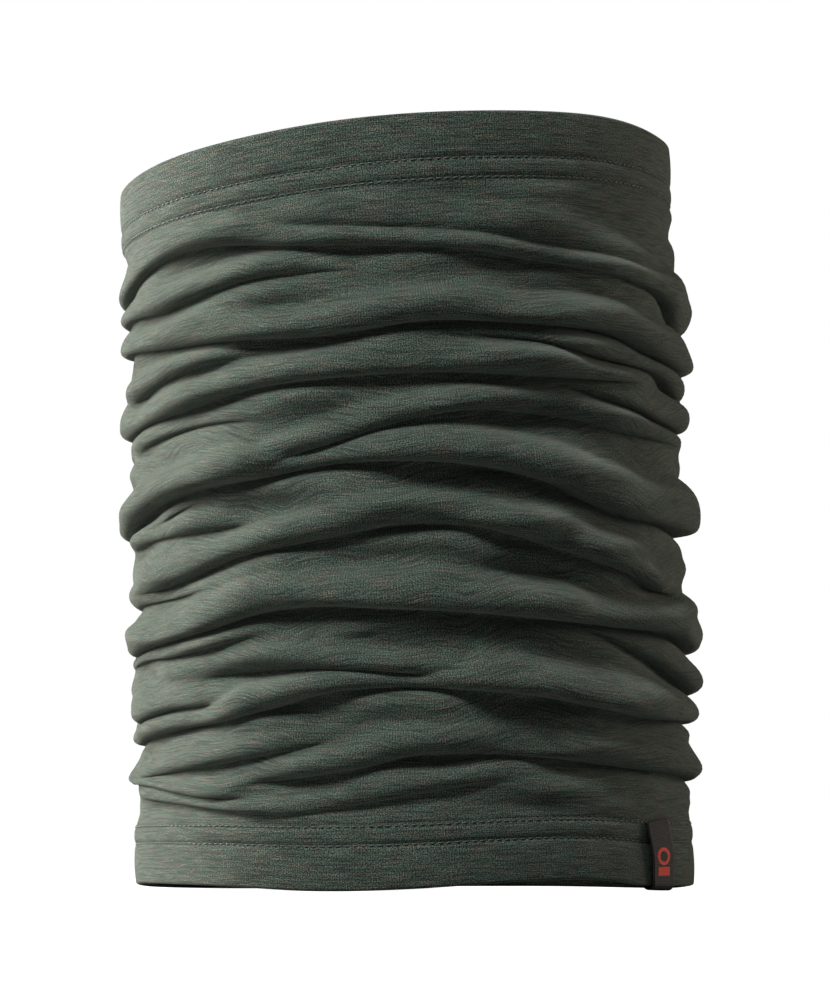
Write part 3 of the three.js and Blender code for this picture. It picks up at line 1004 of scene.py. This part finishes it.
def satin_material():
    """White satin ribbon: a close, slightly glossy weave with very fine ribs."""
    rib_pitch = 0.0003
    material, add = new_material("satin_label")
    maths = maths_maker(add)
    upwards = cloth_axes(add)[1]
    rib = maths("SINE", maths("MULTIPLY", upwards, 2 * np.pi / rib_pitch))
    bump = add("ShaderNodeBump", Height=rib, Strength=0.3, Distance=0.00005)
    add_surface(add, Base_Color=(0.72, 0.72, 0.70, 1), Normal=bump.outputs[0], Roughness=0.35)
    return material


# ---------------- light and camera


def area_light(name, location, target, size, power, colour):
    """A soft square light at a place, aimed at a target."""
    data = bpy.data.lights.new(name, "AREA")
    data.shape = "SQUARE"
    data.size = size
    data.energy = power
    data.color = colour
    light = bpy.data.objects.new(name, data)
    light.location = location
    light.rotation_euler = (Vector(target) - Vector(location)).to_track_quat("-Z", "Y").to_euler()
    bpy.context.scene.collection.objects.link(light)


def make_studio():
    """A floor and a surround that are white to the camera and dim as lights, a key light low on the left and
    a little behind, one from above in front, and a weak warm one from behind on the right."""
    floor_half = 6.0
    corners = np.array([[-1.0, -1.0, 0.0], [1.0, -1.0, 0.0], [1.0, 1.0, 0.0], [-1.0, 1.0, 0.0]]) * floor_half
    floor = new_piece("floor", corners, [[0, 1, 2, 3]], smooth=False)
    material, add = new_material("pale_floor")
    seen = add("ShaderNodeLightPath")
    add_surface(add, Base_Color=(0.2, 0.2, 0.2, 1), Roughness=0.9, Emission_Color=(1, 1, 1, 1),
                Emission_Strength=seen.outputs["Is Camera Ray"])
    floor.data.materials.append(material)

    world = bpy.data.worlds.new("pale_surround")
    bpy.context.scene.world = world
    world.use_nodes = True
    world.node_tree.nodes.clear()
    add = node_maker(world.node_tree)
    seen = add("ShaderNodeLightPath")
    lighting = add("ShaderNodeBackground", Color=(1, 1, 1, 1), Strength=0.05)
    backdrop = add("ShaderNodeBackground", Color=(1, 1, 1, 1), Strength=1.0)
    to_camera = seen.outputs["Is Camera Ray"]
    both = add("ShaderNodeMixShader", i0=to_camera, i1=lighting.outputs[0], i2=backdrop.outputs[0])
    add("ShaderNodeOutputWorld", Surface=both.outputs[0])

    middle = (0, 0, 0.1)
    area_light("key", (-1.27, 0.60, 0.50), middle, 0.55, 52, (1.0, 0.96, 0.88))
    area_light("top", (-0.66, -0.84, 1.25), middle, 0.45, 31, (0.97, 1.0, 0.98))
    area_light("rim", (1.25, 0.55, 0.35), middle, 0.5, 9, (1.0, 0.88, 0.76))
    bpy.context.scene.view_settings.view_transform = "Standard"


def make_camera():
    """A long lens at the height of the bottom hem, tipped up to the middle of the gaiter."""
    tipped_up = 4.73
    data = bpy.data.cameras.new("camera")
    data.lens = 157.3
    data.sensor_width = 36.0
    data.clip_start = 0.05
    data.clip_end = 50
    camera = bpy.data.objects.new("camera", data)
    camera.location = (0.0026, -1.25, 0.008)
    camera.rotation_euler = (np.radians(90 + tipped_up), 0, 0)
    bpy.context.scene.collection.objects.link(camera)
    bpy.context.scene.camera = camera


# ---------------- the gaiter

make_camera()
make_studio()
jersey = jersey_material()
thread = thread_material()

panel, panel_points = make_tube_panel(jersey)
bottom = make_hem("bottom_hem_cloth", jersey, "bottom_hem", "lower", at_top=False)
top = make_hem("top_hem_cloth", jersey, "top_hem", "upper", at_top=True)
for end, body, at_top in (("bottom", "lower", False), ("top", "upper", True)):
    for row, which in zip(NEEDLE_ROWS, ("upper", "lower") if at_top else ("lower", "upper")):
        node = f"{end}_needle_thread_{which}"
        make_stitch_row(f"{end}_stitches_{which}", thread, node, body, row, at_top)
    make_looper_thread(f"{end}_looper_stitches", thread, f"{end}_looper_thread", body, at_top)

seam, bound = make_back_seam(jersey, thread, panel_points)
hem_label = make_hem_label(woven_label_material(), thread)
care_label = make_care_label(satin_material())

for piece in (panel, seam, bound):
    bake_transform(piece)
